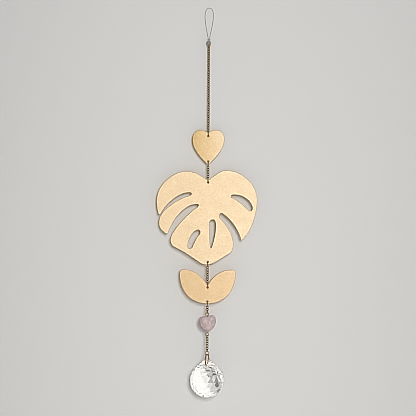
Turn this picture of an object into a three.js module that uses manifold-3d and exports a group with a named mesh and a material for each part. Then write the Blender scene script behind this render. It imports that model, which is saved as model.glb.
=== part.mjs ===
import * as THREE from 'three';
import { mergeVertices } from 'three/addons/utils/BufferGeometryUtils.js';
import Module from 'manifold-3d';

// A suncatcher that hangs on a thread loop: chain, brass heart, big leaf, sprout, stone heart, crystal ball.
// Millimetres, Z up, the front looks along -Y. The zero point is the top of the thread loop, on its inside.

// Clearance left wherever one piece carries the next
const clearance = 0.1;

// Thread loop
const threadRadius = 0.27;
const loopLength = 28.2;
const knotRadius = 0.85;

// Chain: twisted oval links, all alike
const linkInside = 1.95;
const linkWidth = 2.15;
const chainWire = 0.45;
const linkBite = 0.06;
const linkPitch = linkInside + linkBite;
const linkCounts = { upper: 37, heartToLeaf: 5, leafToSprout: 7, sproutToBead: 3, beadToCrystal: 7 };

// Rings
const ringWire = 0.6;
const ringInside = 3.4;
const topRingInside = 3;
const smallRingInside = 2.8;
const crystalRingInside = 8.6;
const crystalRingWire = 0.8;
const crystalTurn = THREE.MathUtils.degToRad(70);

// Stamped plates
const plateThickness = 1;
const holeRadius = 0.8;
const heartDrop = 21.9;
const leafDrop = 68.5;
const sproutDrop = 12.2;
const curveSteps = 6;

// Stone heart on its wire
const beadWire = 0.7;
const eyeInside = 1.9;
const eyeDrop = 17.6;
const beadHalfWidth = 7.3;
const beadThickness = 7;
const beadHole = 1.1;
const beadCentreDrop = 8.15;

// Crystal ball
const ballRadius = 15;
const ballFacets = 12;
const roundsBelow = 5;
const roundsAbove = 3;
const roundStretch = 1.6;
const ballTurn = THREE.MathUtils.degToRad(8);
const ballHoleRise = 13;
const ballHoleRadius = 1.05;
const tipRise = 17;
const tipRadius = 3.3;
const tabHalf = 2.5;

const wasm = await Module();
wasm.setup();

const brassPlate = () => new THREE.MeshStandardMaterial({ color: 0xe2b878, metalness: 1, roughness: 0.4 });
const chainBrass = () => new THREE.MeshStandardMaterial({ color: 0x8f7444, metalness: 1, roughness: 0.35 });
const ringBrass = () => new THREE.MeshStandardMaterial({ color: 0xb08a4c, metalness: 1, roughness: 0.3 });
const stone = () => new THREE.MeshStandardMaterial({ color: 0xc9a9aa, roughness: 0.3 });
const nylon = () => new THREE.MeshStandardMaterial({ color: 0xd9dadb, roughness: 0.25 });
const crystal = () => new THREE.MeshStandardMaterial({ color: 0xf2f4f4, roughness: 0.02 });

const suncatcher = new THREE.Group();
suncatcher.name = 'suncatcher';

function solidOf(geometry) {
  const bare = geometry.index ? geometry.toNonIndexed() : geometry.clone();
  bare.deleteAttribute('normal');
  bare.deleteAttribute('uv');
  const merged = mergeVertices(bare, 1e-4);
  return new wasm.Manifold(new wasm.Mesh({
    numProp: 3,
    vertProperties: new Float32Array(merged.attributes.position.array),
    triVerts: new Uint32Array(merged.index.array),
  }));
}

function geometryOf(solid) {
  const mesh = solid.getMesh();
  const geometry = new THREE.BufferGeometry();
  geometry.setAttribute('position', new THREE.BufferAttribute(new Float32Array(mesh.vertProperties), 3));
  geometry.setIndex(Array.from(mesh.triVerts));
  return geometry;
}

function addPiece(name, geometry, material) {
  const flat = geometry.index ? geometry.toNonIndexed() : geometry;
  flat.computeVertexNormals();
  const mesh = new THREE.Mesh(flat, material);
  mesh.name = name;
  suncatcher.add(mesh);
}

// One link: an oval of square wire, turned about the upright axis from its head to its foot
function linkAt(headLevel, headTurn, footTurn) {
  const half = (linkInside + chainWire) / 2;
  const side = (linkWidth - chainWire) / 2;
  const middle = headLevel - linkInside / 2;
  const corners = 6;
  const rails = [[1, 1], [-1, 1], [-1, -1], [1, -1]];
  const positions = [];
  const faces = [];
  for (let i = 0; i < corners; i++) {
    const angle = (i / corners) * Math.PI * 2;
    for (const [out, across] of rails) {
      const grow = (out * chainWire) / 2;
      const u = (side + grow) * Math.cos(angle);
      const w = ((half + grow) * Math.sin(angle)) / Math.sin(Math.PI / 3);
      const v = (across * chainWire) / 2;
      const share = THREE.MathUtils.clamp(w / half, -1, 1) / 2 + 0.5;
      const turn = THREE.MathUtils.degToRad(footTurn + (headTurn - footTurn) * share);
      const x = u * Math.cos(turn) - v * Math.sin(turn);
      const y = u * Math.sin(turn) + v * Math.cos(turn);
      positions.push(x, y, middle + w);
    }
  }
  for (let i = 0; i < corners; i++) {
    const here = i * 4;
    const next = ((i + 1) % corners) * 4;
    for (let j = 0; j < 4; j++) {
      const k = (j + 1) % 4;
      faces.push(here + j, here + k, next + k, here + j, next + k, next + j);
    }
  }
  const geometry = new THREE.BufferGeometry();
  geometry.setAttribute('position', new THREE.Float32BufferAttribute(positions, 3));
  geometry.setIndex(faces);
  return geometry;
}

// Every piece below rests on the piece before it: `bearing` is the level that carries the next one
let bearing = 0;

function hangChain(name, count, headTurn, footTurn) {
  const headLevel = bearing + clearance;
  let body = null;
  for (let i = 0; i < count; i++) {
    const from = i === 0 ? headTurn : 45;
    const to = i === count - 1 ? footTurn : -45;
    const link = solidOf(linkAt(headLevel - i * linkPitch, from, to));
    body = body ? body.add(link) : link;
  }
  addPiece(name, geometryOf(body), chainBrass());
  bearing = headLevel - (count - 1) * linkPitch - linkInside;
}

// A round ring, turned about the upright axis: 0 faces the front
function hangRing(name, inside, wire, turn) {
  const centre = bearing + clearance - inside / 2;
  const corners = inside > 5 ? 20 : 12;
  const ring = new THREE.TorusGeometry((inside + wire) / 2, wire / 2, 5, corners);
  ring.rotateX(Math.PI / 2);
  ring.rotateZ(turn);
  ring.translate(0, 0, centre);
  addPiece(name, geometryOf(solidOf(ring)), ringBrass());
  bearing = centre - inside / 2;
  return centre;
}

// A flat outline made solid, upright in the front plane and centred on it
function slab(outline, thickness) {
  const geometry = new THREE.ExtrudeGeometry(outline, {
    depth: thickness,
    bevelEnabled: false,
    curveSegments: curveSteps,
  });
  geometry.rotateX(Math.PI / 2);
  geometry.translate(0, thickness / 2, 0);
  return solidOf(geometry);
}

// A plate drawn with its upper hole at the zero point and its lower hole one drop below
function hangPlate(name, outline, openings, drop) {
  let plate = slab(outline, plateThickness);
  for (const level of [0, -drop]) {
    const hole = new THREE.CylinderGeometry(holeRadius, holeRadius, 3 * plateThickness, 14);
    plate = plate.subtract(solidOf(hole.translate(0, 0, level)));
  }
  for (const opening of openings) {
    plate = plate.subtract(slab(opening, 3 * plateThickness));
  }
  const upperHole = bearing + clearance - holeRadius;
  addPiece(name, geometryOf(plate).translate(0, 0, upperHole), brassPlate());
  bearing = upperHole - drop - holeRadius;
}

// Thread loop, seen from the front as a slim drop that stands on its knot
const ringTop = -loopLength;
const knotLevel = ringTop + 2 * threadRadius + knotRadius - 0.1;
const loopPath = new THREE.CatmullRomCurve3([
  new THREE.Vector3(-0.5, 0, knotLevel + knotRadius + 0.12),
  new THREE.Vector3(-1.5, 0, -21.5),
  new THREE.Vector3(-2.6, 0, -15),
  new THREE.Vector3(-3.4, 0, -8.5),
  new THREE.Vector3(-3, 0, -3.2),
  new THREE.Vector3(-1.5, 0, -0.3),
  new THREE.Vector3(0.3, 0, threadRadius),
  new THREE.Vector3(2.2, 0, -0.5),
  new THREE.Vector3(3.6, 0, -3.6),
  new THREE.Vector3(3.7, 0, -8.5),
  new THREE.Vector3(2.7, 0, -15.5),
  new THREE.Vector3(1.3, 0, -22),
  new THREE.Vector3(0.5, 0, knotLevel + knotRadius + 0.12),
]);
const threadSection = new THREE.Shape();
for (let i = 0; i < 8; i++) {
  const angle = ((i + 0.5) / 8) * Math.PI * 2;
  const point = [threadRadius * Math.cos(angle), threadRadius * Math.sin(angle)];
  if (i === 0) threadSection.moveTo(...point);
  else threadSection.lineTo(...point);
}
const threadSteps = { steps: 40, extrudePath: loopPath, curveSegments: 1 };
const thread = new THREE.ExtrudeGeometry(threadSection, threadSteps);
addPiece('hanging_loop', geometryOf(solidOf(thread)), nylon());

// Knot with a small bight round the wire of the top ring
const bightRadius = ringWire / 2 + clearance + threadRadius;
const bight = new THREE.TorusGeometry(bightRadius, threadRadius, 6, 12);
bight.rotateY(Math.PI / 2);
bight.translate(0, 0, ringTop - ringWire / 2);
const knot = new THREE.SphereGeometry(knotRadius, 10, 7);
knot.scale(1.25, 0.95, 1);
knot.rotateX(Math.PI / 2);
knot.translate(0, 0, knotLevel);
addPiece('loop_knot', geometryOf(solidOf(bight).add(solidOf(knot))), nylon());

// Chain down to the heart
bearing = ringTop - ringWire - clearance;
hangRing('top_ring', topRingInside, ringWire, 0);
hangChain('upper_chain', linkCounts.upper, 90, 0);

// Heart
hangRing('heart_upper_ring', ringInside, ringWire, Math.PI / 2);
const heart = new THREE.Shape();
heart.moveTo(0, 2.1);
heart.bezierCurveTo(1.4, 3.8, 3.8, 5.3, 6.7, 5.3);
heart.bezierCurveTo(10.7, 5.3, 13.8, 2.1, 13.8, -2.7);
heart.bezierCurveTo(13.8, -10.1, 8.6, -16.6, 0.9, -24);
heart.quadraticCurveTo(0, -24.9, -0.9, -24);
heart.bezierCurveTo(-8.6, -16.6, -13.8, -10.1, -13.8, -2.7);
heart.bezierCurveTo(-13.8, 2.1, -10.7, 5.3, -6.7, 5.3);
heart.bezierCurveTo(-3.8, 5.3, -1.4, 3.8, 0, 2.1);
hangPlate('brass_heart', heart, [], heartDrop);
hangRing('heart_lower_ring', ringInside, ringWire, Math.PI / 2);
hangChain('heart_to_leaf_chain', linkCounts.heartToLeaf, 0, 0);

// Big leaf: right lobe and finger, lower body, left fingers, left lobe
hangRing('leaf_upper_ring', ringInside, ringWire, Math.PI / 2);
const leaf = new THREE.Shape();
leaf.moveTo(0, 1.7);
leaf.bezierCurveTo(4.1, 4.2, 9.4, 10.4, 15.9, 10.4);
leaf.bezierCurveTo(29.3, 10.4, 42.4, -2.1, 42.4, -14.8);
leaf.bezierCurveTo(42.4, -26.2, 38.3, -40.4, 30.4, -48.9);
leaf.quadraticCurveTo(28.8, -50.3, 28.4, -48.6);
leaf.bezierCurveTo(26.5, -40.8, 20.3, -32, 12.9, -26.9);
leaf.bezierCurveTo(11.2, -25.5, 9.2, -27.1, 10.4, -30.6);
leaf.bezierCurveTo(15.1, -36, 22, -44.5, 22, -53);
leaf.bezierCurveTo(22, -57.3, 21, -59.9, 18.7, -61.2);
leaf.bezierCurveTo(13.1, -64.2, 6.7, -69.4, 2.7, -70.3);
leaf.bezierCurveTo(0, -71.2, -3, -71.2, -6.1, -69.6);
leaf.bezierCurveTo(-12.9, -65, -19.9, -59.9, -29, -55.6);
leaf.bezierCurveTo(-31.5, -53.8, -32.7, -51.4, -32.1, -48);
leaf.bezierCurveTo(-30.2, -40.7, -17.9, -27.6, -10.3, -22.1);
leaf.bezierCurveTo(-7.4, -20.6, -7.5, -18.7, -9.8, -18.7);
leaf.bezierCurveTo(-19.5, -18.8, -30, -31.2, -34.2, -43.4);
leaf.bezierCurveTo(-34.9, -45.1, -36.5, -44.3, -38.1, -42.8);
leaf.bezierCurveTo(-42, -40, -43.4, -34.9, -41.2, -29.6);
leaf.bezierCurveTo(-38.6, -23.5, -25.8, -13.9, -16.1, -11.6);
leaf.bezierCurveTo(-13.4, -10.7, -13.6, -8.7, -16.2, -8.7);
leaf.bezierCurveTo(-24.6, -8.7, -35.5, -17.5, -40.9, -27.3);
leaf.bezierCurveTo(-41.7, -28.5, -42.8, -27.8, -43.1, -25.8);
leaf.bezierCurveTo(-43.8, -22.7, -44.4, -19.5, -44.4, -16);
leaf.bezierCurveTo(-44.4, -3, -31.5, 9.4, -18, 9.4);
leaf.bezierCurveTo(-9.6, 9.4, -4.6, 4, 0, 1.7);

// Three closed slots of the big leaf: one high on the right, one low on the left, one low in the middle
const rightSlot = new THREE.Shape();
rightSlot.moveTo(20.4, -13.1);
rightSlot.bezierCurveTo(19.2, -12.2, 19.6, -10.4, 22, -10.4);
rightSlot.bezierCurveTo(29.5, -10.2, 36.9, -14.6, 38.4, -21.4);
rightSlot.bezierCurveTo(38.7, -23.8, 37, -25.2, 34.9, -23.8);
rightSlot.bezierCurveTo(31.5, -20.6, 26.6, -15.6, 20.4, -13.1);
const leftSlot = new THREE.Shape();
leftSlot.moveTo(-17.2, -53.6);
leftSlot.bezierCurveTo(-16.7, -49.2, -13.8, -43.4, -10.3, -41.4);
leftSlot.bezierCurveTo(-7.2, -39.6, -5.4, -42.3, -7.4, -45.1);
leftSlot.bezierCurveTo(-10.1, -48, -11.3, -51.3, -12.9, -54.9);
leftSlot.bezierCurveTo(-14, -58.2, -18, -57.9, -17.2, -53.6);
const middleSlot = new THREE.Shape();
middleSlot.moveTo(1.3, -35.1);
middleSlot.bezierCurveTo(1.6, -32.9, 2.7, -32, 4.1, -32);
middleSlot.bezierCurveTo(5.8, -32, 6.7, -33.5, 6.7, -36.1);
middleSlot.bezierCurveTo(7, -43, 5.3, -50.5, 3.5, -55.6);
middleSlot.bezierCurveTo(3.1, -57, 2.2, -56.8, 2, -54.8);
middleSlot.lineTo(1.3, -35.1);
hangPlate('monstera_leaf', leaf, [rightSlot, leftSlot, middleSlot], leafDrop);
hangRing('leaf_lower_ring', ringInside, ringWire, Math.PI / 2);
hangChain('leaf_to_sprout_chain', linkCounts.leafToSprout, 0, 0);

// Sprout: two small leaves that meet in a notch
hangRing('sprout_upper_ring', ringInside, ringWire, Math.PI / 2);
const sprout = new THREE.Shape();
sprout.moveTo(0, -13.9);
sprout.bezierCurveTo(10.3, -13.9, 18.5, -8.7, 21.8, 0.2);
sprout.bezierCurveTo(23.3, 3.4, 24.1, 8, 24.1, 12);
sprout.bezierCurveTo(24.1, 13.9, 23.6, 15, 22.1, 15.2);
sprout.bezierCurveTo(13.2, 15.8, 4.9, 10.5, 0.7, 2.6);
sprout.quadraticCurveTo(0, 1.8, -0.7, 2.6);
sprout.bezierCurveTo(-4.9, 10.5, -13.2, 15.8, -22.1, 15.2);
sprout.bezierCurveTo(-23.6, 15, -24.1, 13.9, -24.1, 12);
sprout.bezierCurveTo(-24.1, 8, -23.3, 3.4, -21.8, 0.2);
sprout.bezierCurveTo(-18.5, -8.7, -10.3, -13.9, 0, -13.9);
hangPlate('sprout_leaves', sprout, [], sproutDrop);
hangRing('sprout_lower_ring', ringInside, ringWire, Math.PI / 2);
hangChain('sprout_to_bead_chain', linkCounts.sproutToBead, 0, 90);

// Stone heart on a wire with an eye at each end
const upperEye = bearing + clearance - eyeInside / 2;
const lowerEye = upperEye - eyeDrop;
const eyeRadius = (eyeInside + beadWire) / 2;
const eye = new THREE.TorusGeometry(eyeRadius, beadWire / 2, 6, 12);
eye.rotateX(Math.PI / 2);
const shank = new THREE.CylinderGeometry(beadWire / 2, beadWire / 2, eyeDrop - 2 * eyeRadius, 8);
shank.rotateX(Math.PI / 2);
const pin = solidOf(shank.translate(0, 0, (upperEye + lowerEye) / 2));
const upperLoop = solidOf(eye.clone().translate(0, 0, upperEye));
const lowerLoop = solidOf(eye.clone().translate(0, 0, lowerEye));
addPiece('bead_wire', geometryOf(pin.add(upperLoop).add(lowerLoop)), ringBrass());

// The stone swells from its heart-shaped rim to the middle of both faces
const rim = new THREE.Shape();
rim.moveTo(0, 5.8);
rim.bezierCurveTo(1.2, 6.8, 2.6, 7.2, 4, 7.2);
rim.bezierCurveTo(6.3, 7.2, beadHalfWidth, 4.9, beadHalfWidth, 2);
rim.bezierCurveTo(beadHalfWidth, -1.6, 4.2, -5.8, 0.2, -7.6);
rim.bezierCurveTo(-3.6, -6.2, -beadHalfWidth, -2.4, -beadHalfWidth, 1);
rim.bezierCurveTo(-beadHalfWidth, 4, -6, 6.1, -4, 6.1);
rim.bezierCurveTo(-2.4, 6.1, -1.1, 6.1, 0, 5.8);
const rimPoints = rim.getSpacedPoints(28).slice(0, 28);
const beadRows = 8;
const beadPositions = [0, -beadThickness / 2, 0];
const beadFaces = [];
for (let i = 1; i < beadRows; i++) {
  const angle = (i / beadRows) * Math.PI;
  const swell = Math.pow(Math.sin(angle), 0.8);
  for (const point of rimPoints) {
    beadPositions.push(point.x * swell, (-beadThickness / 2) * Math.cos(angle), point.y * swell);
  }
}
const beadBack = 1 + (beadRows - 1) * rimPoints.length;
beadPositions.push(0, beadThickness / 2, 0);
for (let j = 0; j < rimPoints.length; j++) {
  const k = (j + 1) % rimPoints.length;
  beadFaces.push(0, 1 + k, 1 + j);
  for (let i = 0; i < beadRows - 2; i++) {
    const near = 1 + i * rimPoints.length;
    const far = near + rimPoints.length;
    beadFaces.push(near + j, near + k, far + k, near + j, far + k, far + j);
  }
  const edge = beadBack - rimPoints.length;
  beadFaces.push(beadBack, edge + j, edge + k);
}
const bead = new THREE.BufferGeometry();
bead.setAttribute('position', new THREE.Float32BufferAttribute(beadPositions, 3));
bead.setIndex(beadFaces);
bead.translate(0, 0, upperEye - beadCentreDrop);
const drill = new THREE.CylinderGeometry(beadHole / 2, beadHole / 2, eyeDrop, 10);
drill.rotateX(Math.PI / 2);
drill.translate(0, 0, upperEye - beadCentreDrop);
const seat = new THREE.SphereGeometry(eyeRadius + beadWire / 2 + 0.15, 12, 8);
seat.scale(1, 0.4, 1);
const drilled = solidOf(bead).subtract(solidOf(drill));
const seated = drilled.subtract(solidOf(seat.clone().translate(0, 0, upperEye)));
addPiece('quartz_heart', geometryOf(seated.subtract(solidOf(seat.translate(0, 0, lowerEye)))), stone());
bearing = lowerEye - eyeInside / 2;
hangChain('bead_to_crystal_chain', linkCounts.beadToCrystal, 90, 90);
hangRing('small_ring', smallRingInside, ringWire, 0);

// Crystal: the ring rests on both rims of the cross hole
const ringCentre = hangRing('crystal_ring', crystalRingInside, crystalRingWire, crystalTurn);
const reach = crystalRingInside / 2;
const restLevel = ringCentre - Math.sqrt(reach * reach - tabHalf * tabHalf) + clearance;
const ballCentre = restLevel - ballHoleRadius - ballHoleRise;

// Facet corners lie on staggered rounds of the sphere; the tall diamonds between them have a cross crease
const step = Math.PI / ballFacets;
const climb = roundStretch * Math.acosh(1 / Math.cos(step));
const rounds = [];
for (let k = -roundsBelow; k <= roundsAbove; k++) {
  rounds.push([ballRadius / Math.cosh(k * climb), ballRadius * Math.tanh(k * climb)]);
}
const ballPositions = [];
const corner = (round, i) => round * ballFacets + ((i + ballFacets) % ballFacets);
rounds.forEach(([radius, level], k) => {
  for (let i = 0; i < ballFacets; i++) {
    const angle = (2 * i + (k % 2)) * step + ballTurn;
    ballPositions.push(radius * Math.cos(angle), radius * Math.sin(angle), level);
  }
});
const lastRound = rounds.length - 1;
const tipStart = ballPositions.length / 3;
for (let i = 0; i < ballFacets; i++) {
  const angle = (2 * i + (lastRound % 2)) * step + ballTurn;
  ballPositions.push(tipRadius * Math.cos(angle), tipRadius * Math.sin(angle), tipRise);
}
const ballFaces = [];
for (let i = 0; i < ballFacets; i++) {
  if (i > 1) ballFaces.push(corner(0, 0), corner(0, i), corner(0, i - 1));
  for (let k = 0; k < lastRound; k++) {
    const odd = k % 2;
    const above = corner(k + 1, i + odd);
    ballFaces.push(corner(k, i), corner(k, i + 1), above);
    const below = corner(k, i + 1 - odd);
    const left = corner(k + 1, i);
    ballFaces.push(left, below, corner(k + 1, i + 1));
  }
  const next = (i + 1) % ballFacets;
  ballFaces.push(corner(lastRound, i), corner(lastRound, i + 1), tipStart + next);
  ballFaces.push(corner(lastRound, i), tipStart + next, tipStart + i);
  if (i > 1) ballFaces.push(tipStart, tipStart + i - 1, tipStart + i);
}
const ball = new THREE.BufferGeometry();
ball.setAttribute('position', new THREE.Float32BufferAttribute(ballPositions, 3));
ball.setIndex(ballFaces);

// Cross hole, with a groove ground in front of it and behind it that makes room for the ring
const crossHole = new THREE.CylinderGeometry(ballHoleRadius, ballHoleRadius, 3 * ballRadius, 12);
crossHole.rotateZ(Math.PI / 2);
crossHole.translate(0, 0, ballHoleRise);
const grooveShape = new THREE.Shape();
grooveShape.moveTo(tabHalf, tipRise + 2);
grooveShape.lineTo(tabHalf, ballHoleRise - 1.6);
grooveShape.lineTo(tabHalf + 8, ballHoleRise + 0.6);
grooveShape.lineTo(tabHalf + 8, tipRise + 2);
const groove = new THREE.ExtrudeGeometry(grooveShape, { depth: 2 * ballRadius, bevelEnabled: false });
groove.rotateX(Math.PI / 2);
groove.translate(0, ballRadius, 0);
let cut = solidOf(ball).subtract(solidOf(crossHole.rotateZ(crystalTurn)));
cut = cut.subtract(solidOf(groove.clone().rotateZ(crystalTurn)));
cut = cut.subtract(solidOf(groove.clone().rotateZ(crystalTurn + Math.PI)));
addPiece('crystal_ball', geometryOf(cut).translate(0, 0, ballCentre), crystal());

export default suncatcher;
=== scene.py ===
import math

import bmesh
import bpy
import numpy as np
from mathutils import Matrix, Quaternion, Vector, geometry, noise


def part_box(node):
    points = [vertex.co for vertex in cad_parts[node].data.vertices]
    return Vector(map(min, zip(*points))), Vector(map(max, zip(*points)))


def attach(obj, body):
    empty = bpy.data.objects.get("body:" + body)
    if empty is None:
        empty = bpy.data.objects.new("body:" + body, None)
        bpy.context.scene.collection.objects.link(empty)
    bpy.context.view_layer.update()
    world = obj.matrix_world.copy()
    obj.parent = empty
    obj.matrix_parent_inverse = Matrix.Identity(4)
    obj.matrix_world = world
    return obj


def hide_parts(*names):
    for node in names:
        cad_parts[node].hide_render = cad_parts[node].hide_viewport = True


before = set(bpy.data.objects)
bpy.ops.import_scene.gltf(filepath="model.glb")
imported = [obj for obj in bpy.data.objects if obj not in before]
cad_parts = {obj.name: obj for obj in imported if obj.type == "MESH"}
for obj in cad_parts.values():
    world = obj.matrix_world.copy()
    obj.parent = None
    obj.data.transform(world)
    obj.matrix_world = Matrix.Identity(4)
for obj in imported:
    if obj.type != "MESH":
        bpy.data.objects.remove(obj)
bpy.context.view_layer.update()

mm = 0.001
fullTurn = 2 * math.pi
scene = bpy.context.scene
litPieces = bpy.data.collections.new("litPieces")  # what the front softbox shines on


# shared makers
def makePiece(name, verts, faces):
    mesh = bpy.data.meshes.new(name)
    mesh.from_pydata([tuple(v) for v in verts], [], faces)
    mesh.update()
    mesh.shade_smooth()
    piece = bpy.data.objects.new(name, mesh)
    scene.collection.objects.link(piece)
    litPieces.objects.link(piece)
    return piece


def settle(piece, slotName, *nodeNames):
    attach(piece, "root")
    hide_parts(*nodeNames)


def joined(parts):
    verts, faces = [], []
    for partVerts, partFaces in parts:
        start = len(verts)
        verts.extend(partVerts)
        faces.extend([[start + i for i in face] for face in partFaces])
    return verts, faces


# round wire along a path; open ends get a filed, slightly domed cap
def sweepWire(path, radius, sides, closed=False):
    count = len(path)
    heading = []
    for i in range(count):
        before = path[i - 1] if closed or i else path[i]
        after = path[(i + 1) % count] if closed or i < count - 1 else path[i]
        heading.append((after - before).normalized())
    across = [heading[0].orthogonal().normalized()]
    for i in range(1, count):
        across.append((heading[i - 1].rotation_difference(heading[i]) @ across[-1]).normalized())
    untwist = 0
    if closed:
        home = heading[-1].rotation_difference(heading[0]) @ across[-1]
        untwist = math.atan2(home.cross(across[0]).dot(heading[0]), home.dot(across[0]))
    verts, faces = [], []

    def addRound(centre, i, size):
        side = Quaternion(heading[i], untwist * i / count) @ across[i]
        up = heading[i].cross(side)
        for j in range(sides):
            angle = fullTurn * j / sides
            verts.append(centre + size * (math.cos(angle) * side + math.sin(angle) * up))

    for i in range(count):
        addRound(path[i], i, radius)
    for i in range(count if closed else count - 1):
        here, there = i * sides, ((i + 1) % count) * sides
        for j in range(sides):
            k = (j + 1) % sides
            faces.append([here + j, here + k, there + k, there + j])
    if not closed:
        for i, sign in ((0, -1), (count - 1, 1)):
            rim = i * sides
            cap = len(verts)
            addRound(path[i] + sign * 0.25 * radius * heading[i], i, 0.78 * radius)
            for j in range(sides):
                k = (j + 1) % sides
                faces.append([rim + j, rim + k, cap + k, cap + j][::sign])
            faces.append([cap + j for j in range(sides)][::sign])
    return verts, faces


# a curve through points that keeps to them without swinging wide
def smoothThrough(points, index, share):
    count = len(points)
    p = [points[min(max(index + k, 0), count - 1)] for k in (-1, 0, 1, 2)]
    if index == 0:
        p[0] = 2 * points[0] - points[1]
    if index == count - 2:
        p[3] = 2 * points[-1] - points[-2]
    return centripetal(p, share)


def centripetal(p, share):
    t = [0]
    for k in range(3):
        t.append(t[-1] + max((p[k + 1] - p[k]).length, 1e-9) ** 0.5)
    at = t[1] + (t[2] - t[1]) * share
    a = [((t[k + 1] - at) * p[k] + (at - t[k]) * p[k + 1]) / (t[k + 1] - t[k]) for k in range(3)]
    b = [((t[k + 2] - at) * a[k] + (at - t[k]) * a[k + 1]) / (t[k + 2] - t[k]) for k in range(2)]
    return ((t[2] - at) * b[0] + (at - t[1]) * b[1]) / (t[2] - t[1])


# shader makers
def startMaterial(name):
    material = bpy.data.materials.new(name)
    material.use_nodes = True
    return material, material.node_tree, material.node_tree.nodes["Principled BSDF"]


def addNode(tree, kind, sockets=None, **settings):
    node = tree.nodes.new(kind)
    for key, value in settings.items():
        setattr(node, key, value)
    for key, value in (sockets or {}).items():
        socket = node.inputs[key]
        if isinstance(value, bpy.types.NodeSocket):
            tree.links.new(value, socket)
        else:
            socket.default_value = value
    return node


def blendColours(tree, share, first, second, blendType="MIX"):
    node = addNode(tree, "ShaderNodeMix", data_type="RGBA", blend_type=blendType)
    for index, value in ((0, share), (6, first), (7, second)):
        if isinstance(value, bpy.types.NodeSocket):
            tree.links.new(value, node.inputs[index])
        else:
            node.inputs[index].default_value = value
    return node.outputs[2]


def ranged(tree, value, low, high, toLow, toHigh):
    sockets = {"Value": value, "From Min": low, "From Max": high, "To Min": toLow, "To Max": toHigh}
    return addNode(tree, "ShaderNodeMapRange", sockets, clamp=True).outputs["Result"]


def grain(tree, place, scale, detail=4, roughness=0.55, stretch=None):
    if stretch:
        place = addNode(tree, "ShaderNodeMapping", {"Vector": place, "Scale": stretch}).outputs["Vector"]
    sockets = {"Vector": place, "Scale": scale, "Detail": detail, "Roughness": roughness}
    return addNode(tree, "ShaderNodeTexNoise", sockets).outputs["Fac"]


def rgb(red, green, blue):
    return (red, green, blue, 1)


# camera
view = {
    "lens": 85,
    "sensor": 36,
    "distance": 846.7 * mm,
    "centre": Vector((0.06, 0, -171.97)) * mm,
    "rollDegrees": 0.325,
}
camera = bpy.data.objects.new("camera", bpy.data.cameras.new("camera"))
scene.collection.objects.link(camera)
camera.data.lens = view["lens"]
camera.data.sensor_width = view["sensor"]
camera.data.clip_start = 0.01
camera.location = view["centre"] + Vector((0, -view["distance"], 0))
camera.rotation_mode = "QUATERNION"
camera.rotation_quaternion = (
    Quaternion((0, 1, 0), math.radians(-view["rollDegrees"])) @ Quaternion((1, 0, 0), math.pi / 2)
)
scene.camera = camera

# thread loop
threadLoop = {
    "radius": 0.27 * mm,
    "stepsPerStretch": 7,
    "route": [
        (-0.5, -25.94), (-1.5, -21.5), (-2.6, -15), (-3.4, -8.5), (-3, -3.2), (-1.5, -0.3), (0.3, 0.27),
        (2.2, -0.5), (3.6, -3.6), (3.7, -8.5), (2.7, -15.5), (1.3, -22), (0.5, -25.94),
    ],
    "tint": (0.44, 0.44, 0.43),
    "shade": (0.26, 0.245, 0.22),
    "clearness": 0.3,
    "refraction": 1.53,
}
knotTied = {
    "strand": 0.25 * mm,
    "turnSize": 0.27 * mm,
    "tailLength": 1.5 * mm,
    "ringTop": -28.2 * mm,
    "ringWire": 0.6 * mm,
    "windings": 7.5,  # round the left side of the ring
    "windStart": 92,
    "windSweep": 165,
    "windSteps": 144,
    "innerTurns": (-0.75, -0.25, 0.25, 0.75),  # mm across, inside the ring
    "innerHalfDepth": 0.57,
    "innerHalfHeight": 1.68,
    "innerLift": 0.7,
}


def nylonThread():
    material, tree, shader = startMaterial("clear_nylon")
    place = addNode(tree, "ShaderNodeTexCoord").outputs["Object"]
    cloud = grain(tree, place, 900, 3)
    tint = blendColours(tree, cloud, rgb(*threadLoop["shade"]), rgb(*threadLoop["tint"]))
    tree.links.new(tint, shader.inputs["Base Color"])
    tree.links.new(ranged(tree, cloud, 0.3, 0.7, 0.14, 0.3), shader.inputs["Roughness"])
    shader.inputs["Transmission Weight"].default_value = threadLoop["clearness"]
    shader.inputs["IOR"].default_value = threadLoop["refraction"]
    return material


def hangThread(material):
    corners = [Vector((x, 0, z)) * mm for x, z in threadLoop["route"]]
    steps = threadLoop["stepsPerStretch"]
    count = steps * (len(corners) - 1)
    path = [smoothThrough(corners, i // steps, (i % steps) / steps) for i in range(count)]
    path.append(corners[-1])
    curve = bpy.data.curves.new("thread_loop", "CURVE")
    curve.dimensions = "3D"
    curve.bevel_depth = threadLoop["radius"]
    curve.bevel_resolution = 4
    curve.use_fill_caps = True
    spline = curve.splines.new("POLY")
    spline.points.add(len(path) - 1)
    for point, spot in zip(spline.points, path):
        point.co = (*spot, 1)
    spline.use_smooth = True
    curve.materials.append(material)
    loop = bpy.data.objects.new("thread_loop", curve)
    scene.collection.objects.link(loop)
    litPieces.objects.link(loop)
    length = sum((b - a).length for a, b in zip(path, path[1:]))
    return loop, path, length


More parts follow.
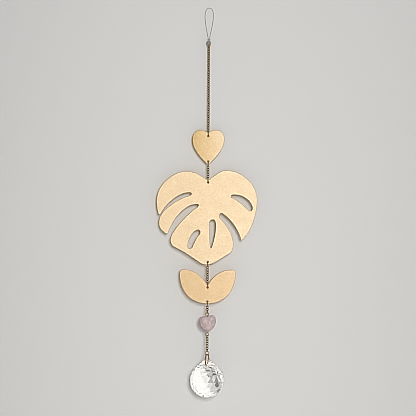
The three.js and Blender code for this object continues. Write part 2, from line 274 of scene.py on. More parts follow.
def tieKnot(material):
    strand = knotTied["strand"]
    size = knotTied["turnSize"]
    lowest = knotTied["ringTop"]
    centre = Vector((0, 0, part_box("loop_knot")[1][2] - 0.85 * mm))
    turns = []
    for i in range(90):
        t = fullTurn * i / 90
        turns.append(centre + size * Vector((
            1.15 * (math.sin(t) + 2 * math.sin(2 * t)),
            -0.8 * math.sin(3 * t),
            0.95 * (math.cos(t) - 2 * math.cos(2 * t)),
        )))
    bightSize = knotTied["ringWire"] / 2 + 0.1 * mm + threadLoop["radius"]
    bightCentre = Vector((0, 0, lowest - knotTied["ringWire"] / 2))
    bight = []
    for i in range(40):
        t = fullTurn * i / 40
        bight.append(bightCentre + bightSize * Vector((0.12 * math.sin(t), math.sin(t), math.cos(t))))
    parts = [sweepWire(turns, strand, 10, True), sweepWire(bight, threadLoop["radius"], 10, True)]
    ringSize = (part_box("top_ring")[1][2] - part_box("top_ring")[0][2] - knotTied["ringWire"]) / 2
    ringMiddle = Vector((0, 0, lowest - knotTied["ringWire"] / 2 - ringSize))
    coil = []
    windSteps = knotTied["windSteps"]
    wound = knotTied["ringWire"] / 2 + strand
    for i in range(windSteps + 1):
        t = math.radians(knotTied["windStart"] + knotTied["windSweep"] * i / windSteps)
        turn = fullTurn * knotTied["windings"] * i / windSteps
        reach = ringSize + wound * math.cos(turn)
        side = wound * math.sin(turn)
        coil.append(ringMiddle + Vector((reach * math.cos(t), side, reach * math.sin(t))))
    parts.append(sweepWire(coil, strand, 10))
    for across in knotTied["innerTurns"]:
        inner = []
        for i in range(24):
            t = fullTurn * i / 24
            rise = knotTied["innerLift"] + knotTied["innerHalfHeight"] * math.cos(t)
            inner.append(ringMiddle + Vector((across, knotTied["innerHalfDepth"] * math.sin(t), rise)) * mm)
        parts.append(sweepWire(inner, strand, 10, True))
    for way, lift in ((1, 0.75), (-1, 0.2)):
        tail = []
        for i in range(9):
            t = i / 8 * knotTied["tailLength"]
            tail.append(centre + Vector((
                way * (0.5 * mm + 0.75 * t), -0.25 * mm - 0.15 * t, lift * t - way * 0.15 * mm,
            )))
        parts.append(sweepWire(tail, strand, 10))
    knot = makePiece("tied_knot", *joined(parts))
    knot.data.materials.append(material)
    return knot


nylon = nylonThread()
loop, loopRoute, loopReach = hangThread(nylon)
settle(loop, "nylon_thread", "hanging_loop")
knot = tieKnot(nylon)
settle(knot, "nylon_thread", "loop_knot")
print("thread loop: %.1f mm long" % (loopReach / mm))

# stamped brass plates
plateSheet = {
    "thickness": 1 * mm,
    "edgeRound": 0.32,  # mm, worn corner between face and cut edge
    "rimStep": 0.35,
    "meshStep": 1.5,
    "cornerDegrees": 44,
    "waveLength": 17,
    "holeArea": 4,  # a smaller opening is a hole for a ring
    "cloudTone": (0.94, 0.88, 0.79),
    "fineTone": (0.88, 0.81, 0.69),
    "holeShadeReach": (0.85, 1.2),  # mm from the middle of a hole; painted shade around each ring hole, where the ring sits in shadow
    # dark brown painted shade for the ring holes
    "holeShadeTone": (0.16, 0.08, 0.025),
    "cutDeepTone": (0.62, 0.32, 0.1),
    "cutLightTone": (0.82, 0.52, 0.22),
}
# each plate's tone runs from darker at the left to lighter at the right: painted shade and painted light, as
# the light falls from the right
heartPlate = {
    "node": "brass_heart", "piece": "heart_plate", "bow": 0.25, "wave": 0.03,
    "shadedLeftTone": (0.84, 0.60, 0.29), "litRightTone": (0.96, 0.78, 0.54), "halfWidth": 13.8,
}
leafPlate = {
    "node": "monstera_leaf", "piece": "leaf_plate", "bow": 0.0, "wave": 0.05,
    "shadedLeftTone": (0.99, 0.79, 0.53), "litRightTone": (0.99, 0.81, 0.57), "halfWidth": 44,
}
sproutPlate = {
    "node": "sprout_leaves", "piece": "sprout_plate", "bow": 0.1, "wave": 0.04,
    "shadedLeftTone": (0.89, 0.67, 0.40), "litRightTone": (0.93, 0.70, 0.45), "halfWidth": 24,
}


# outlines of a plate's front face, in mm, as x and z
def readRims(nodeName):
    shape = bmesh.new()
    shape.from_mesh(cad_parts[nodeName].data)
    bmesh.ops.remove_doubles(shape, verts=shape.verts, dist=2e-6)
    shape.normal_update()
    front = {face for face in shape.faces if face.normal.y < -0.9}
    neighbours = {}
    for edge in shape.edges:
        if sum(face in front for face in edge.link_faces) == 1:
            a, b = edge.verts
            neighbours.setdefault(a, []).append(b)
            neighbours.setdefault(b, []).append(a)
    rims = []
    left = set(neighbours)
    while left:
        start = min(left, key=lambda v: (v.co.x, v.co.z))
        walk, last, here = [], None, start
        while here in left:
            left.discard(here)
            walk.append(Vector((here.co.x, here.co.z)) / mm)
            onward = [v for v in neighbours[here] if v is not last]
            last, here = here, onward[0]
        rims.append(walk)
    shape.free()
    rims.sort(key=lambda rim: -abs(signedArea(rim)))
    return [rim if (signedArea(rim) > 0) == (i == 0) else rim[::-1] for i, rim in enumerate(rims)]


def signedArea(rim):
    return sum(a.x * b.y - b.x * a.y for a, b in zip(rim, rim[1:] + rim[:1])) / 2


# fine even steps along an outline; real corners stay corners
def smoothRim(rim):
    count = len(rim)
    corner = []
    for i in range(count):
        into, out = rim[i] - rim[i - 1], rim[(i + 1) % count] - rim[i]
        corner.append(math.degrees(into.angle(out)) > plateSheet["cornerDegrees"])
    fine = []
    for i in range(count):
        k = (i + 1) % count
        p = [rim[i - 1], rim[i], rim[k], rim[(i + 2) % count]]
        if corner[i]:
            p[0] = 2 * p[1] - p[2]
        if corner[k]:
            p[3] = 2 * p[2] - p[1]
        steps = max(2, round((p[2] - p[1]).length / plateSheet["rimStep"]))
        fine.extend(centripetal(p, s / steps) for s in range(steps))
    return fine


def insetRim(rim, distance):
    moved = []
    for i, point in enumerate(rim):
        into = (point - rim[i - 1]).normalized()
        out = (rim[(i + 1) % len(rim)] - point).normalized()
        inward = Vector((-into.y - out.y, into.x + out.x)).normalized()
        stretch = 1 / max(0.5, inward.dot(Vector((-out.y, out.x))))
        moved.append(point + inward * distance * stretch)
    return moved


def insideRims(points, rims):
    inside = np.zeros(len(points), bool)
    for rim in rims:
        a = np.array([tuple(p) for p in rim])
        b = np.roll(a, -1, axis=0)
        for (ax, ay), (bx, by) in zip(a, b):
            if ay == by:
                continue
            spans = (points[:, 1] < ay) != (points[:, 1] < by)
            inside ^= spans & (points[:, 0] < ax + (points[:, 1] - ay) * (bx - ax) / (by - ay))
    return inside


# a sheet with a filled face on both sides and rounded cut edges between them
def stampPlate(plate):
    rims = [smoothRim(rim) for rim in readRims(plate["node"])]
    half, rounding = plateSheet["thickness"] / mm / 2, plateSheet["edgeRound"]
    profile = [(rounding + 0.15, -half)]
    for i in range(5):
        angle = i / 4 * math.pi / 2
        profile.append((rounding * (1 - math.sin(angle)), -half + rounding * (1 - math.cos(angle))))
    profile += [(inset, -depth) for inset, depth in profile[::-1]]

    def lay(point, depth):
        along, up = point.x / plateSheet["waveLength"], point.y / plateSheet["waveLength"]
        sway = plate["wave"] * noise.noise(Vector((along, up, half)))
        cup = plate["bow"] * (point.x / plate["halfWidth"]) ** 2
        return Vector((point.x, depth + sway + cup, point.y)) * mm

    verts, faces, onEdge = [], [], []
    capRims = []
    for rim in rims:
        start, size = len(verts), len(rim)
        rings = [insetRim(rim, inset) for inset, depth in profile]
        for ring, (inset, depth) in zip(rings, profile):
            verts.extend(lay(p, depth) for p in ring)
        for r in range(len(profile) - 1):
            for j in range(size):
                k = (j + 1) % size
                a, b = start + r * size, start + (r + 1) * size
                faces.append([a + j, b + j, b + k, a + k])
                onEdge.append(1 if 1 < r < len(profile) - 3 else 0)
        capRims.append((rings[0], start, start + (len(profile) - 1) * size))

    # inner points keep the faces evenly meshed
    step = plateSheet["meshStep"]
    edgePoints = np.array([tuple(p) for ring, a, b in capRims for p in ring])
    low, high = edgePoints.min(axis=0), edgePoints.max(axis=0)
    spots = []
    for row, y in enumerate(np.arange(low[1] + step, high[1], step * 0.87)):
        for x in np.arange(low[0] + step * (1 + row % 2) / 2, high[0], step):
            spots.append((x, y))
    spots = np.array(spots)
    clear = np.array([np.min(np.sum((edgePoints - s) ** 2, axis=1)) > (0.6 * step) ** 2 for s in spots])
    spots = spots[clear & insideRims(spots, [ring for ring, a, b in capRims])]

    flat, links, frontOf, backOf = [], [], [], []
    for ring, frontStart, backStart in capRims:
        base = len(flat)
        flat.extend(Vector((p.x, p.y)) for p in ring)
        links.extend((base + j, base + (j + 1) % len(ring)) for j in range(len(ring)))
        frontOf.extend(range(frontStart, frontStart + len(ring)))
        backOf.extend(range(backStart, backStart + len(ring)))
    for x, y in spots:
        flat.append(Vector((x, y)))
        frontOf.append(len(verts))
        verts.append(lay(flat[-1], -half))
        backOf.append(len(verts))
        verts.append(lay(flat[-1], half))
    found, _, triangles, origin, _, _ = geometry.delaunay_2d_cdt(flat, links, [], 0, 1e-5)
    middles = np.array([tuple(sum((found[i] for i in t), Vector((0, 0))) / 3) for t in triangles])
    keep = insideRims(middles, [ring for ring, a, b in capRims])
    for triangle, kept in zip(triangles, keep):
        if kept and all(origin[i] for i in triangle):
            corners = [origin[i][0] for i in triangle]
            faces.append([frontOf[i] for i in corners])
            faces.append([backOf[i] for i in corners[::-1]])
            onEdge += [0, 0]
    small = [rim for rim in rims if abs(signedArea(rim)) < plateSheet["holeArea"]]
    plate["holes"] = [sum(rim, Vector((0, 0))) / len(rim) for rim in small]
    piece = makePiece(plate["piece"], verts, faces)
    piece.data.polygons.foreach_set("material_index", onEdge)
    return piece


def plateBrass(plate):
    material, tree, shader = startMaterial(plate["piece"] + "_brass")
    place = addNode(tree, "ShaderNodeTexCoord").outputs["Object"]
    x = addNode(tree, "ShaderNodeSeparateXYZ", {"Vector": place}).outputs["X"]
    reach = plate["halfWidth"] * mm
    # painted shade and light across the plate: darker to the left, lighter to the right
    fade = ranged(tree, x, -reach, reach, 0, 1)
    tone = blendColours(tree, fade, rgb(*plate["shadedLeftTone"]), rgb(*plate["litRightTone"]))
    cloud = grain(tree, place, 130, 3)
    fine = grain(tree, place, 1100, 4, 0.6)
    brushed = grain(tree, place, 900, 3, 0.6, (0.12, 1, 1))
    share = ranged(tree, cloud, 0.3, 0.7, 0, 0.5)
    tone = blendColours(tree, share, tone, rgb(*plateSheet["cloudTone"]), "MULTIPLY")
    share = ranged(tree, fine, 0.35, 0.75, 0, 0.6)
    tone = blendColours(tree, share, tone, rgb(*plateSheet["fineTone"]), "MULTIPLY")
    for hole in plate["holes"]:  # painted shade around each hole, where the ring sits in shadow
        spot = (hole.x * mm, -plateSheet["thickness"] / 2, hole.y * mm)
        sockets = {0: place, 1: spot}
        near = addNode(tree, "ShaderNodeVectorMath", sockets, operation="DISTANCE").outputs["Value"]
        holeShadeShare = ranged(tree, near, plateSheet["holeShadeReach"][0] * mm, plateSheet["holeShadeReach"][1] * mm, 1, 0)
        tone = blendColours(tree, holeShadeShare, tone, rgb(*plateSheet["holeShadeTone"]))
    tree.links.new(tone, shader.inputs["Base Color"])
    shader.inputs["Metallic"].default_value = 1
    uneven = addNode(tree, "ShaderNodeMath", {0: fine, 1: brushed}, operation="ADD").outputs[0]
    tree.links.new(ranged(tree, uneven, 0.6, 1.4, 0.36, 0.5), shader.inputs["Roughness"])
    bump = addNode(tree, "ShaderNodeBump", {"Height": uneven, "Strength": 0.12, "Distance": 0.05 * mm})
    tree.links.new(bump.outputs["Normal"], shader.inputs["Normal"])
    return material


def cutEdgeBrass():
    material, tree, shader = startMaterial("cut_edge_brass")
    place = addNode(tree, "ShaderNodeTexCoord").outputs["Object"]
    streak = grain(tree, place, 700, 4, 0.6)
    share = ranged(tree, streak, 0.3, 0.7, 0, 1)
    tone = blendColours(tree, share, rgb(*plateSheet["cutDeepTone"]), rgb(*plateSheet["cutLightTone"]))
    tree.links.new(tone, shader.inputs["Base Color"])
    shader.inputs["Metallic"].default_value = 1
    tree.links.new(ranged(tree, streak, 0.3, 0.7, 0.38, 0.6), shader.inputs["Roughness"])
    return material


cutEdge = cutEdgeBrass()
for plate in (heartPlate, leafPlate, sproutPlate):
    piece = stampPlate(plate)
    piece.data.materials.append(plateBrass(plate))
    piece.data.materials.append(cutEdge)
    settle(piece, "plate_brass", plate["node"])
    print("plate:", plate["piece"], len(piece.data.polygons), "faces")

# chain
chainLink = {
    "inside": 1.95 * mm,
    "width": 2.4 * mm,
    "wire": 0.6 * mm,
    "solidWire": 0.45 * mm,  # wire of the plain links that these stand for
    "pitch": 2.01 * mm,
    "twist": 45,  # each way, from the middle of a link to its ends
    "stepsRound": 28,
    "sides": 8,
    "shadeFrom": 0.78,  # painted shade: the bends of a link, where the links cross and shade each other, are painted dark; its sides are not
    "sideTones": ((0.36, 0.22, 0.05), (0.76, 0.52, 0.15)),
    "sideRough": (0.24, 0.4),
    # the painted shade of the bends, where the links cross
    "bendShadeTones": ((0.1, 0.052, 0.012), (0.26, 0.15, 0.04)),
    "bendRough": (0.3, 0.45),
    "speckTone": (0.45, 0.32, 0.2),
}
chainRuns = {  # how the head of the first link and the foot of the last are turned
    "upper_chain": (90, 0), "heart_to_leaf_chain": (0, 0), "leaf_to_sprout_chain": (0, 0),
    "sprout_to_bead_chain": (0, 90), "bead_to_crystal_chain": (90, 90),
}


# one oval link, twisted about the upright axis from its head to its foot
def twistedLink(middle, headTurn, footTurn):
    wire = chainLink["wire"] / 2
    side = (chainLink["width"] - chainLink["wire"]) / 2
    half = (chainLink["inside"] + chainLink["wire"]) / 2
    rounds, sides = chainLink["stepsRound"], chainLink["sides"]
    verts, faces = [], []
    for i in range(rounds):
        t = fullTurn * i / rounds
        outward = Vector((math.cos(t) * half, math.sin(t) * side)).normalized()
        for j in range(sides):
            s = fullTurn * j / sides
            u = side * math.cos(t) + wire * math.cos(s) * outward.x
            w = half * math.sin(t) + wire * math.cos(s) * outward.y
            v = wire * math.sin(s)
            share = min(1, max(-1, w / half)) / 2 + 0.5
            turn = math.radians(footTurn + (headTurn - footTurn) * share)
            verts.append(Vector((
                u * math.cos(turn) - v * math.sin(turn), u * math.sin(turn) + v * math.cos(turn), middle + w,
            )))
    for i in range(rounds):
        here, there = i * sides, ((i + 1) % rounds) * sides
        for j in range(sides):
            k = (j + 1) % sides
            faces.append([here + j, there + j, there + k, here + k])
    return verts, faces


def mottledBrass(name, dark, light, roughLow, roughHigh):
    material, tree, shader = startMaterial(name)
    place = addNode(tree, "ShaderNodeTexCoord").outputs["Object"]
    patch = grain(tree, place, 420, 4, 0.6)
    speck = grain(tree, place, 2600, 3, 0.6)
    tone = blendColours(tree, ranged(tree, patch, 0.3, 0.7, 0, 1), rgb(*dark), rgb(*light))
    dirt = ranged(tree, speck, 0.45, 0.75, 0, 0.45)
    tone = blendColours(tree, dirt, tone, rgb(*chainLink["speckTone"]), "MULTIPLY")
    tree.links.new(tone, shader.inputs["Base Color"])
    shader.inputs["Metallic"].default_value = 1
    tree.links.new(ranged(tree, patch, 0.3, 0.7, roughHigh, roughLow), shader.inputs["Roughness"])
    bump = addNode(tree, "ShaderNodeBump", {"Height": speck, "Strength": 0.15, "Distance": 0.03 * mm})
    tree.links.new(bump.outputs["Normal"], shader.inputs["Normal"])
    return material


chainBrass = mottledBrass("chain_brass", *chainLink["sideTones"], *chainLink["sideRough"])
# painted shade: a darker brass for the bends, where the links cross
bendShadeBrass = mottledBrass("chain_bend_painted_shade", *chainLink["bendShadeTones"], *chainLink["bendRough"])
bends = []
for i in range(chainLink["stepsRound"]):
    bends.append(abs(math.sin(fullTurn * (i + 0.5) / chainLink["stepsRound"])) > chainLink["shadeFrom"])
for nodeName, (headTurn, footTurn) in chainRuns.items():
    low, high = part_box(nodeName)
    length = chainLink["inside"] + 2 * chainLink["solidWire"]
    count = round((high[2] - low[2] - length) / chainLink["pitch"]) + 1
    parts = []
    for i in range(count):
        middle = high[2] - length / 2 - i * chainLink["pitch"]
        head = headTurn if i == 0 else chainLink["twist"]
        foot = footTurn if i == count - 1 else -chainLink["twist"]
        parts.append(twistedLink(middle, head, foot))
    links = makePiece(nodeName + "_links", *joined(parts))
    links.data.materials.append(chainBrass)
    links.data.materials.append(bendShadeBrass)
    onBend = [int(bend) for i in range(count) for bend in bends for j in range(chainLink["sides"])]
    links.data.polygons.foreach_set("material_index", onBend)
    settle(links, "chain_brass", nodeName)
    print("chain:", nodeName, count, "links")

# rings
ringStock = {
    "wire": 0.6 * mm,
    "crystalWire": 0.95 * mm,
    "seamDegrees": 3,
    "seamAt": 20,
    "steps": 56,
    "tones": ((0.3, 0.17, 0.045), (0.68, 0.43, 0.14)),
    "rough": (0.2, 0.36),
    "rings": {  # how far each is turned about the upright axis
        "top_ring": 0, "heart_upper_ring": 90, "heart_lower_ring": 90,
        "leaf_upper_ring": 90, "leaf_lower_ring": 90,
        "sprout_upper_ring": 90, "sprout_lower_ring": 90, "small_ring": 0, "crystal_ring": 70,
    },
}
ringBrass = mottledBrass("ring_brass", *ringStock["tones"], *ringStock["rough"])


# a ring bent from wire: its two ends meet at a fine seam
def bendRing(nodeName, turnDegrees):
    wire = ringStock["crystalWire" if nodeName == "crystal_ring" else "wire"]
    low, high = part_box(nodeName)
    centre = (high[2] + low[2]) / 2
    size = (high[2] - low[2] - wire) / 2
    turn = math.radians(turnDegrees)
    seam = math.radians(ringStock["seamDegrees"])
    path = []
    for i in range(ringStock["steps"] + 1):
        t = math.radians(ringStock["seamAt"]) + seam / 2 + (fullTurn - seam) * i / ringStock["steps"]
        reach = size * math.cos(t)
        path.append(Vector((reach * math.cos(turn), reach * math.sin(turn), centre + size * math.sin(t))))
    ring = makePiece(nodeName + "_bent", *sweepWire(path, wire / 2, 12))
    ring.data.materials.append(ringBrass)
    settle(ring, "ring_brass", nodeName)


for nodeName, turnDegrees in ringStock["rings"].items():
    bendRing(nodeName, turnDegrees)
print("rings:", len(ringStock["rings"]))

# stone heart on its wire
stoneWire = {"wire": 0.7 * mm, "eye": 1.3 * mm, "openDegrees": 42, "eyeSteps": 31}
stoneHeart = {
    "halfWidth": 7.3, "halfDepth": 3.5, "centreDrop": 8.15, "rows": 36, "stepsPerCurve": 20,
    "fullness": 0.8, "uneven": 0.05, "unevenScale": 0.45,
    "deepTone": (0.37, 0.275, 0.28), "milkTone": (0.52, 0.42, 0.42), "veinTone": (0.8, 0.72, 0.72),
    "milkiness": 0.35, "milkReach": 1.5 * mm, "refraction": 1.54,
}
wireLow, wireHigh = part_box("bead_wire")
upperEye = wireHigh[2] - stoneWire["eye"] - stoneWire["wire"] / 2
lowerEye = wireLow[2] + stoneWire["eye"] + stoneWire["wire"] / 2


def bendEyes():
    sweep = fullTurn - math.radians(stoneWire["openDegrees"])
    steps = stoneWire["eyeSteps"]
    path = []
    for i in range(steps + 1):
        t = math.pi / 2 + sweep * (1 - i / steps)
        path.append(Vector((stoneWire["eye"] * math.cos(t), 0, lowerEye + stoneWire["eye"] * math.sin(t))))
    for i in range(1, 12):
        path.append(path[steps].lerp(Vector((0, 0, upperEye - stoneWire["eye"])), i / 12))
    for i in range(steps + 1):
        t = -math.pi / 2 + sweep * i / steps
        path.append(Vector((stoneWire["eye"] * math.cos(t), 0, upperEye + stoneWire["eye"] * math.sin(t))))
    return sweepWire(path, stoneWire["wire"] / 2, 12)


def stoneRim():
    w = stoneHeart["halfWidth"]
    curves = [
        ((0, 5.8), (1.2, 6.8), (2.6, 7.2), (4, 7.2)), ((4, 7.2), (6.3, 7.2), (w, 4.9), (w, 2)),
        ((w, 2), (w, -1.6), (4.2, -5.8), (0.2, -7.6)), ((0.2, -7.6), (-3.6, -6.2), (-w, -2.4), (-w, 1)),
        ((-w, 1), (-w, 4), (-6, 6.1), (-4, 6.1)), ((-4, 6.1), (-2.4, 6.1), (-1.1, 6.1), (0, 5.8)),
    ]
    rim = []
    for corners in curves:
        handles = [Vector(c) for c in corners]
        rim.extend(geometry.interpolate_bezier(*handles, stoneHeart["stepsPerCurve"] + 1)[:-1])
    return rim


def carveStone():
    rim = stoneRim()
    rows, size = stoneHeart["rows"], len(rim)
    centre = upperEye / mm - stoneHeart["centreDrop"]
    verts, faces = [], []
    for i in range(1, rows):
        angle = i / rows * math.pi
        swell = math.sin(angle) ** stoneHeart["fullness"]
        for point in rim:
            spot = Vector((point.x * swell, -stoneHeart["halfDepth"] * math.cos(angle), point.y * swell))
            rough = stoneHeart["uneven"] * noise.noise(spot * stoneHeart["unevenScale"])
            verts.append((spot * (1 + rough) + Vector((0, 0, centre))) * mm)
    for end in (-1, 1):
        verts.append(Vector((0, end * stoneHeart["halfDepth"], centre)) * mm)
    front, back = len(verts) - 2, len(verts) - 1
    for j in range(size):
        k = (j + 1) % size
        faces.append([front, k, j])
        for i in range(rows - 2):
            near, far = i * size, (i + 1) * size
            faces.append([near + j, near + k, far + k, far + j])
        edge = (rows - 2) * size
        faces.append([back, edge + j, edge + k])
    return verts, faces


def roseQuartz():
    material, tree, shader = startMaterial("rose_quartz")
    place = addNode(tree, "ShaderNodeTexCoord").outputs["Object"]
    cloud = grain(tree, place, 190, 5, 0.6)
    vein = grain(tree, place, 420, 6, 0.7, (1, 1, 0.45))
    share = ranged(tree, cloud, 0.32, 0.68, 0, 1)
    tone = blendColours(tree, share, rgb(*stoneHeart["deepTone"]), rgb(*stoneHeart["milkTone"]))
    share = ranged(tree, vein, 0.56, 0.64, 0, 0.35)
    tone = blendColours(tree, share, tone, rgb(*stoneHeart["veinTone"]))
    tree.links.new(tone, shader.inputs["Base Color"])
    tree.links.new(ranged(tree, vein, 0.3, 0.7, 0.22, 0.36), shader.inputs["Roughness"])
    shader.inputs["Subsurface Weight"].default_value = stoneHeart["milkiness"]
    shader.inputs["Subsurface Radius"].default_value = (1, 0.6, 0.6)
    shader.inputs["Subsurface Scale"].default_value = stoneHeart["milkReach"]
    shader.inputs["IOR"].default_value = stoneHeart["refraction"]
    bump = addNode(tree, "ShaderNodeBump", {"Height": vein, "Strength": 0.08, "Distance": 0.1 * mm})
    tree.links.new(bump.outputs["Normal"], shader.inputs["Normal"])
    return material


eyes = makePiece("stone_wire_eyes", *bendEyes())
eyes.data.materials.append(ringBrass)
settle(eyes, "ring_brass", "bead_wire")
stone = makePiece("stone_heart", *carveStone())
stone.data.materials.append(roseQuartz())
settle(stone, "rose_quartz", "quartz_heart")
print("stone heart:", len(stone.data.polygons), "faces")

# crystal ball
crystalBall = {"tint": (1, 1, 1), "refraction": 1.54}


def clearCrystal():
    material, tree, shader = startMaterial("clear_crystal")
    shader.inputs["Base Color"].default_value = rgb(*crystalBall["tint"])
    shader.inputs["Transmission Weight"].default_value = 1
    shader.inputs["IOR"].default_value = crystalBall["refraction"]
    shader.inputs["Roughness"].default_value = 0
    return material


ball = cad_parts["crystal_ball"]
ball.data.materials.clear()
ball.data.materials.append(clearCrystal())
litPieces.objects.link(ball)
for clear in (loop, knot):
    clear.visible_shadow = False
print("crystal ball dressed")

# backdrop, floor and light
studio = {
    "floorLevel": -0.42,
    "floorHalf": 3,
    "floorTone": (0.8, 0.8, 0.79),
    "backdropGap": 1.6 * mm,  # behind the thread loop; the backdrop leans back to clear the ball
    "backdropLean": 0.0469,
    "backdropTop": 1.2,
    "backdropHalf": 2,
    "backdropTone": (0.955, 0.955, 0.94),
    "keyPower": 13.4,
    "keyDistance": 1.6,
    "keySize": (0.28, 0.42),
    "keyRight": 7.5,
    "keyUp": 9.5,
    "softPower": 3.7,
    "softOffset": (0.25, -1.5, 0.12),
    "softSize": (1, 1),
    "backTone": 0.62,
    "fadeCentre": (0.001, 0, -1.68),  # the backdrop's painted shade deepens with the distance from here
    "fadeStretch": (1, 0, 0.214),
    "fadeFrom": 0.061,
    "fadeTo": 0.44,
    "falloffShadeTone": (0.541, 0.541, 0.546),
    "bounces": 20,  # light goes to and fro in the crystal
    "filterWidth": 1.2,
    "crispness": 0.18,
    "chainCover": 3,  # takes in the gaps of the links
    "chainGrain": 0.6,
}


def stagePlane(name, corners, tone, oneSided=False):
    plane = bpy.data.objects.new(name, bpy.data.meshes.new(name))
    plane.data.from_pydata(corners, [], [[0, 1, 2, 3]])
    scene.collection.objects.link(plane)
    material, tree, shader = startMaterial(name + "_paint")
    place = addNode(tree, "ShaderNodeTexCoord").outputs["Object"]
    cloud = grain(tree, place, 6, 3)
    paint = blendColours(tree, cloud, rgb(*[0.985 * c for c in tone]), rgb(*tone))
    if oneSided:  # painted shade: a little darker to the sides and to the top, where the studio light falls off
        sockets = {0: place, 1: studio["fadeCentre"]}
        offset = addNode(tree, "ShaderNodeVectorMath", sockets, operation="SUBTRACT").outputs[0]
        sockets = {0: offset, 1: studio["fadeStretch"]}
        flat = addNode(tree, "ShaderNodeVectorMath", sockets, operation="MULTIPLY").outputs[0]
        away = addNode(tree, "ShaderNodeVectorMath", {0: flat}, operation="LENGTH").outputs["Value"]
        share = ranged(tree, away, studio["fadeFrom"], studio["fadeTo"], 0, 1)
        paint = blendColours(tree, share, paint, rgb(*studio["falloffShadeTone"]), "MULTIPLY")
    tree.links.new(paint, shader.inputs["Base Color"])
    shader.inputs["Roughness"].default_value = 0.9
    shader.inputs["Specular IOR Level"].default_value = 0.1
    if oneSided:
        back = addNode(tree, "ShaderNodeNewGeometry").outputs["Backfacing"]
        clear = addNode(tree, "ShaderNodeBsdfTransparent").outputs[0]
        mix = addNode(tree, "ShaderNodeMixShader", {0: back, 1: shader.outputs[0], 2: clear})
        tree.links.new(mix.outputs[0], tree.nodes["Material Output"].inputs["Surface"])
    plane.data.materials.append(material)
    return plane


def backdropAt(z):
    return studio["backdropGap"] - studio["backdropLean"] * z


floorZ, topZ = studio["floorLevel"], studio["backdropTop"]
foot, head = backdropAt(floorZ), backdropAt(topZ)
half = studio["backdropHalf"]
corners = [(-half, foot, floorZ), (half, foot, floorZ), (half, head, topZ), (-half, head, topZ)]
backdrop = stagePlane("backdrop", corners, studio["backdropTone"], True)
for kind in ("visible_diffuse", "visible_glossy", "visible_transmission", "visible_shadow"):
    setattr(backdrop, kind, False)
half = studio["floorHalf"]
corners = [(-half, -half, floorZ), (half, -half, floorZ), (half, half, floorZ), (-half, half, floorZ)]
floor = stagePlane("floor", corners, studio["floorTone"])
for kind in ("visible_shadow", "visible_transmission"):
    setattr(floor, kind, False)


def addLight(name, spot, aim, power, size, glossy=True):
    lamp = bpy.data.lights.new(name, "AREA")
    lamp.shape = "RECTANGLE"
    lamp.size, lamp.size_y = size
    lamp.energy = power
    light = bpy.data.objects.new(name, lamp)
    light.location = spot
    light.rotation_mode = "QUATERNION"
    light.rotation_quaternion = (Vector(aim) - Vector(spot)).to_track_quat("-Z", "Y")
    light.visible_glossy = glossy
    light.visible_transmission = False
    scene.collection.objects.link(light)
    return light


aim = view["centre"]
keyWay = Vector((math.tan(math.radians(studio["keyRight"])), -1, math.tan(math.radians(studio["keyUp"]))))
keySpot = aim + keyWay.normalized() * studio["keyDistance"]
addLight("key", keySpot, aim, studio["keyPower"], studio["keySize"], False)
soft = addLight("softbox", aim + Vector(studio["softOffset"]), aim, studio["softPower"], studio["softSize"])
soft.light_linking.receiver_collection = litPieces

# surroundings: pale all round, brighter to the upper right, dark to the lower left
surroundings = {
    "pale": 0.36,
    "patches": [  # where it lies, where it starts and is full (as cosines), its light
        ((0.61, 0.51, 0.61), 0.3, 0.7, (0.9, 0.9, 0.88)),
        ((-0.75, -0.05, -0.66), 0.15, 0.6, (0.17, 0.09, 0.03)),
        ((0, 1, 0), 0.5, 0.85, (0.3, 0.2, 0.11)),
    ],
}
# what shows through the crystal: bright from the right, bands of shade on the left
crystalView = {
    "across": (0.89, 0, 0.46),
    "bands": [  # place from -1 at the left to 1 at the right, brightness
        (-0.9, 0.9), (-0.69, 0.8), (-0.57, 0.22), (-0.51, 0.66), (-0.46, 0.45), (-0.41, 0.19), (-0.36, 0.22),
        (-0.31, 0.85), (-0.28, 0.5), (-0.25, 0.26), (-0.21, 0.85), (-0.18, 0.5), (-0.15, 0.4), (-0.11, 0.7),
        (-0.05, 0.98), (0.02, 0.86), (0.1, 1.04),
    ],
    "warmth": (1, 0.98, 0.94),
}


def lightSurroundings():
    world = bpy.data.worlds.new("studio")
    scene.world = world
    world.use_nodes = True
    tree = world.node_tree
    tree.nodes.clear()
    way = addNode(tree, "ShaderNodeTexCoord").outputs["Generated"]
    level = surroundings["pale"]
    tone = None
    for direction, start, full, glow in surroundings["patches"]:
        sockets = {0: way, 1: tuple(Vector(direction).normalized())}
        facing = addNode(tree, "ShaderNodeVectorMath", sockets, operation="DOT_PRODUCT").outputs["Value"]
        share = ranged(tree, facing, start, full, 0, 1)
        before = tone if tone else rgb(level, level, level)
        tone = blendColours(tree, share, before, rgb(*glow))
    sockets = {0: way, 1: tuple(Vector(crystalView["across"]).normalized())}
    across = addNode(tree, "ShaderNodeVectorMath", sockets, operation="DOT_PRODUCT").outputs["Value"]
    ramp = addNode(tree, "ShaderNodeValToRGB", {"Fac": ranged(tree, across, -1, 1, 0, 1)})
    ramp.color_ramp.interpolation = "LINEAR"
    for i, (place, bright) in enumerate(crystalView["bands"]):
        stops = ramp.color_ramp.elements
        stop = stops[i] if i < len(stops) else stops.new(1)
        stop.position = (place + 1) / 2
        stop.color = rgb(*[bright * c for c in crystalView["warmth"]])
    path = addNode(tree, "ShaderNodeLightPath")
    tone = blendColours(tree, path.outputs["Is Transmission Ray"], tone, ramp.outputs["Color"])
    seen = studio["backTone"]
    tone = blendColours(tree, path.outputs["Is Camera Ray"], tone, rgb(seen, seen, 0.985 * seen))
    sky = addNode(tree, "ShaderNodeBackground", {"Color": tone, "Strength": 1})
    addNode(tree, "ShaderNodeOutputWorld", {"Surface": sky.outputs[0]})


lightSurroundings()
scene.view_settings.view_transform = "Standard"
scene.view_settings.look = "None"
scene.cycles.max_bounces = studio["bounces"]
scene.cycles.glossy_bounces = studio["bounces"]
scene.cycles.transmission_bounces = studio["bounces"]
scene.cycles.filter_width = studio["filterWidth"]

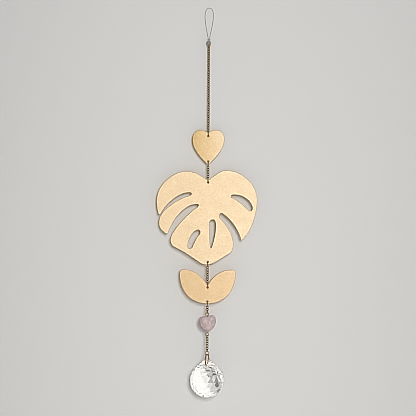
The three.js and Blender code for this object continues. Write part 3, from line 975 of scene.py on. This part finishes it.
# a touch of crispness, as a close lens gives; the fine chains keep their grain
viewLayer = scene.view_layers[0]
viewLayer.use_pass_cryptomatte_object = True
viewLayer.use_pass_normal = True
viewLayer.use_pass_diffuse_color = True
viewLayer.use_pass_glossy_color = True
scene.cycles.use_denoising = False  # done below, all but the chains
scene.use_nodes = True
finish = scene.node_tree
finish.nodes.clear()
layers = finish.nodes.new("CompositorNodeRLayers")
layers.scene = scene
onChain = finish.nodes.new("CompositorNodeCryptomatteV2")
onChain.scene = scene
onChain.layer_name = viewLayer.name + ".CryptoObject"
onChain.matte_id = ",".join(nodeName + "_links" for nodeName in chainRuns)
wholeChain, chainShare = [finish.nodes.new("CompositorNodeMath") for i in range(2)]
wholeChain.operation = chainShare.operation = "MULTIPLY"
wholeChain.inputs[1].default_value = studio["chainCover"]
wholeChain.use_clamp = True
chainShare.inputs[1].default_value = studio["chainGrain"]
grained = finish.nodes.new("CompositorNodeMixRGB")
calm = finish.nodes.new("CompositorNodeDenoise")
paints = finish.nodes.new("CompositorNodeMixRGB")
paints.blend_type = "ADD"
paints.inputs[0].default_value = 1
toDisplay, toLinear = [finish.nodes.new("CompositorNodeGamma") for i in range(2)]
toDisplay.inputs["Gamma"].default_value = 1 / 2.2
toLinear.inputs["Gamma"].default_value = 2.2
split = finish.nodes.new("CompositorNodeSeparateColor")
merge = finish.nodes.new("CompositorNodeCombineColor")
split.mode = merge.mode = "YCC"
crisp = finish.nodes.new("CompositorNodeFilter")
crisp.filter_type = "SHARPEN"
crisp.inputs["Fac"].default_value = studio["crispness"]
picture = finish.nodes.new("CompositorNodeComposite")
for source, target in (
    (onChain.outputs["Matte"], wholeChain.inputs[0]), (wholeChain.outputs[0], chainShare.inputs[0]),
    (chainShare.outputs[0], grained.inputs[0]), (layers.outputs["Image"], calm.inputs["Image"]),
    (layers.outputs["Normal"], calm.inputs["Normal"]), (layers.outputs["DiffCol"], paints.inputs[1]),
    (layers.outputs["GlossCol"], paints.inputs[2]), (paints.outputs[0], calm.inputs["Albedo"]),
    (calm.outputs[0], grained.inputs[1]),
    (layers.outputs["Image"], grained.inputs[2]), (grained.outputs[0], toDisplay.inputs["Image"]),
    (toDisplay.outputs[0], split.inputs[0]),
    (split.outputs[0], crisp.inputs["Image"]), (crisp.outputs[0], merge.inputs[0]),
    (split.outputs[1], merge.inputs[1]), (split.outputs[2], merge.inputs[2]),
    (merge.outputs[0], toLinear.inputs["Image"]), (toLinear.outputs[0], picture.inputs["Image"]),
):
    finish.links.new(source, target)
print("studio lit")
